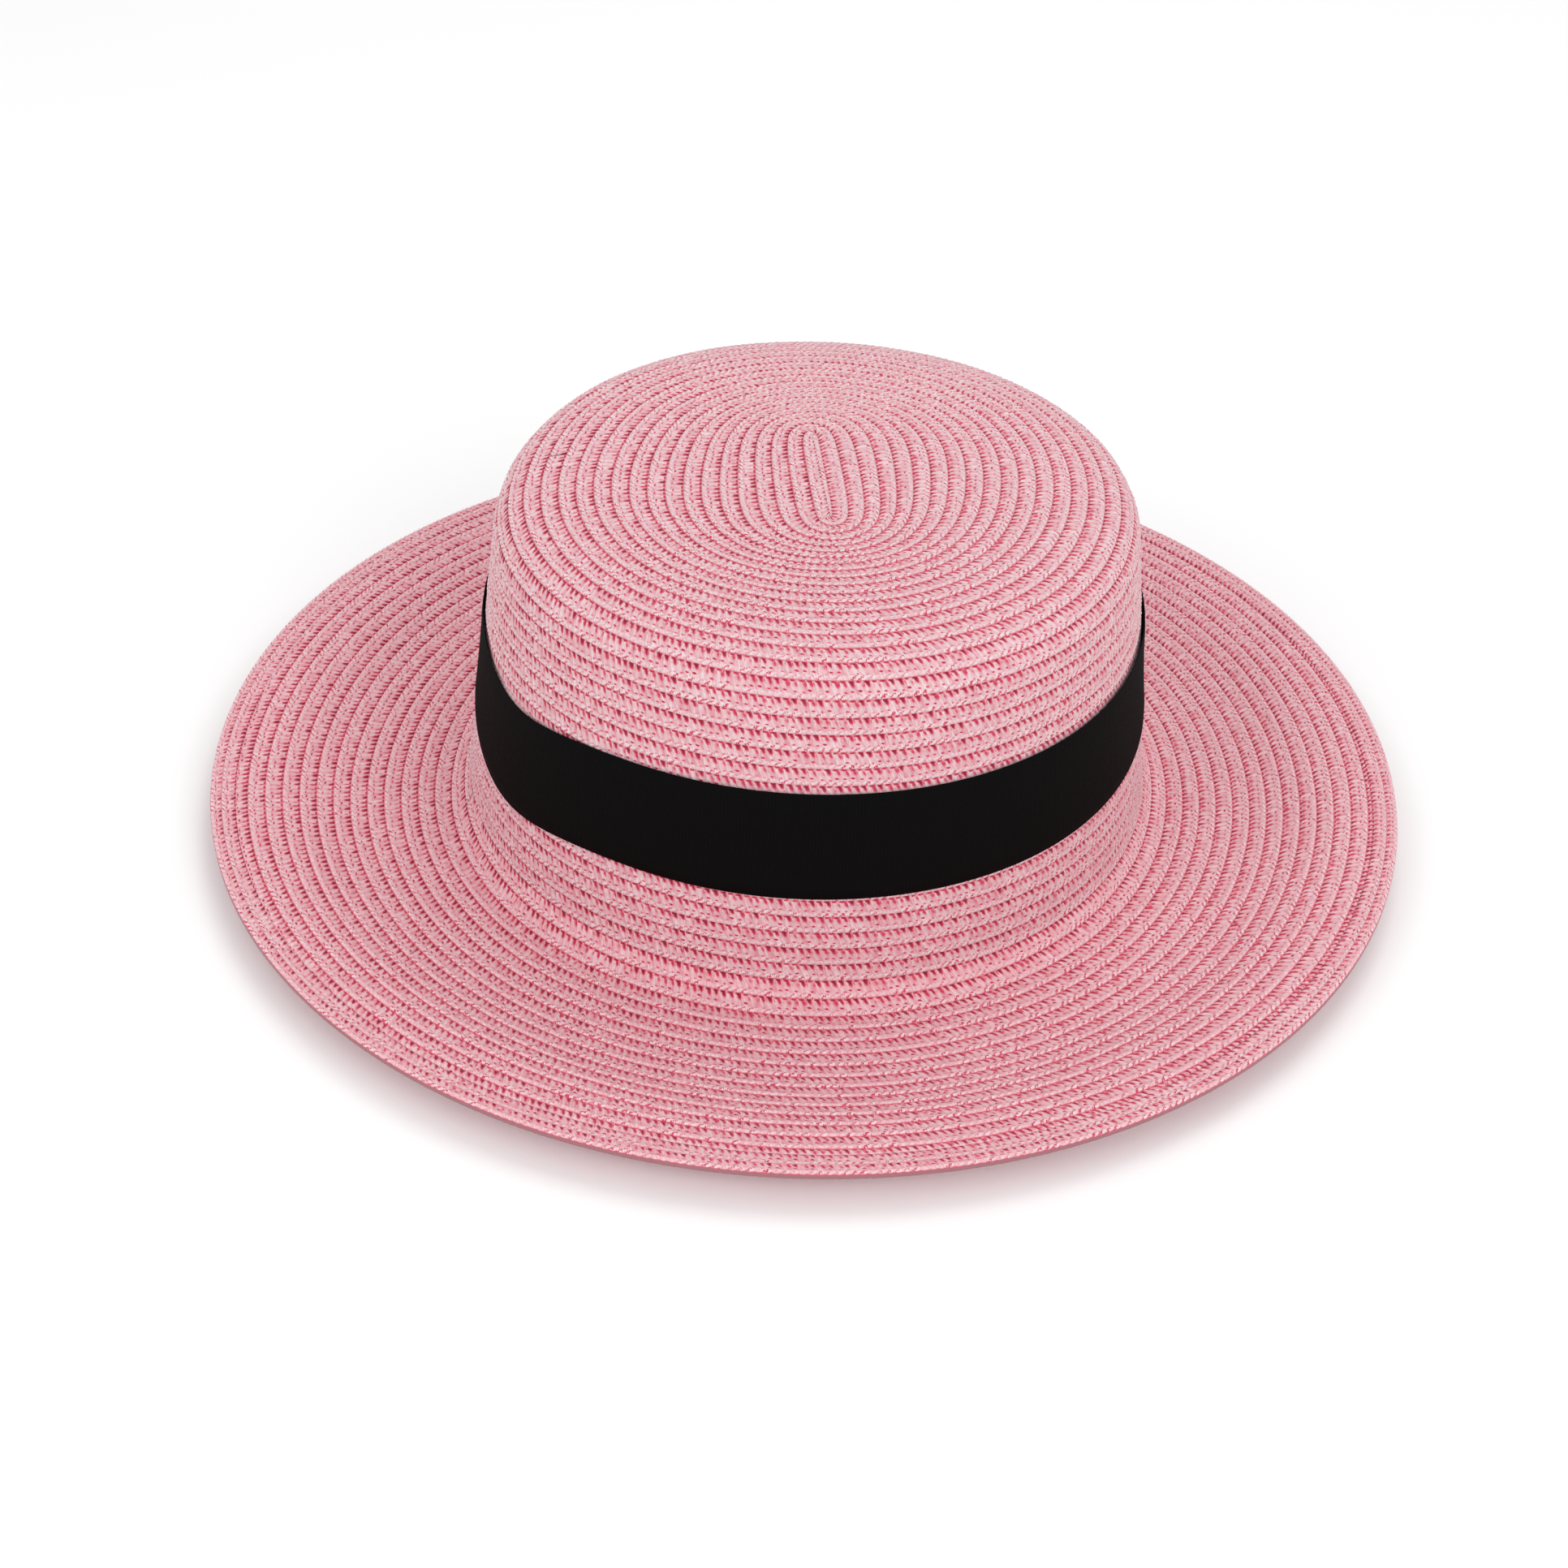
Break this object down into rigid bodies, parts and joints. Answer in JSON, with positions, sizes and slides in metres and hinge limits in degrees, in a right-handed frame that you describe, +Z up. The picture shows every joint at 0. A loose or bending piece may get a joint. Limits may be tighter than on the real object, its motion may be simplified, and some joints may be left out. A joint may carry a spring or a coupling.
{
  "type": "straw boater hat",
  "caption": "Flat-topped oval straw boater hat with a wide brim and a plain ribbon band round the crown, sewn from spiral rows of braid.",
  "frame": {"origin": "middle of the head opening at the level the brim's underside rests on", "axes": "+Z up through the crown, -Y to the hat's front, +Y along the long front-to-back axis of the oval"},
  "size_m": [0.3114, 0.3256, 0.092],
  "materials": {
    "straw": "pink sewn paper-straw braid, matt with a faint sheen",
    "ribbon": "black grosgrain, fine upright ribs, matt"
  },
  "bodies": {
    "root": {"crown": "straw", "brim": "straw", "ribbon_band": "ribbon"}
  },
  "joints": []
}
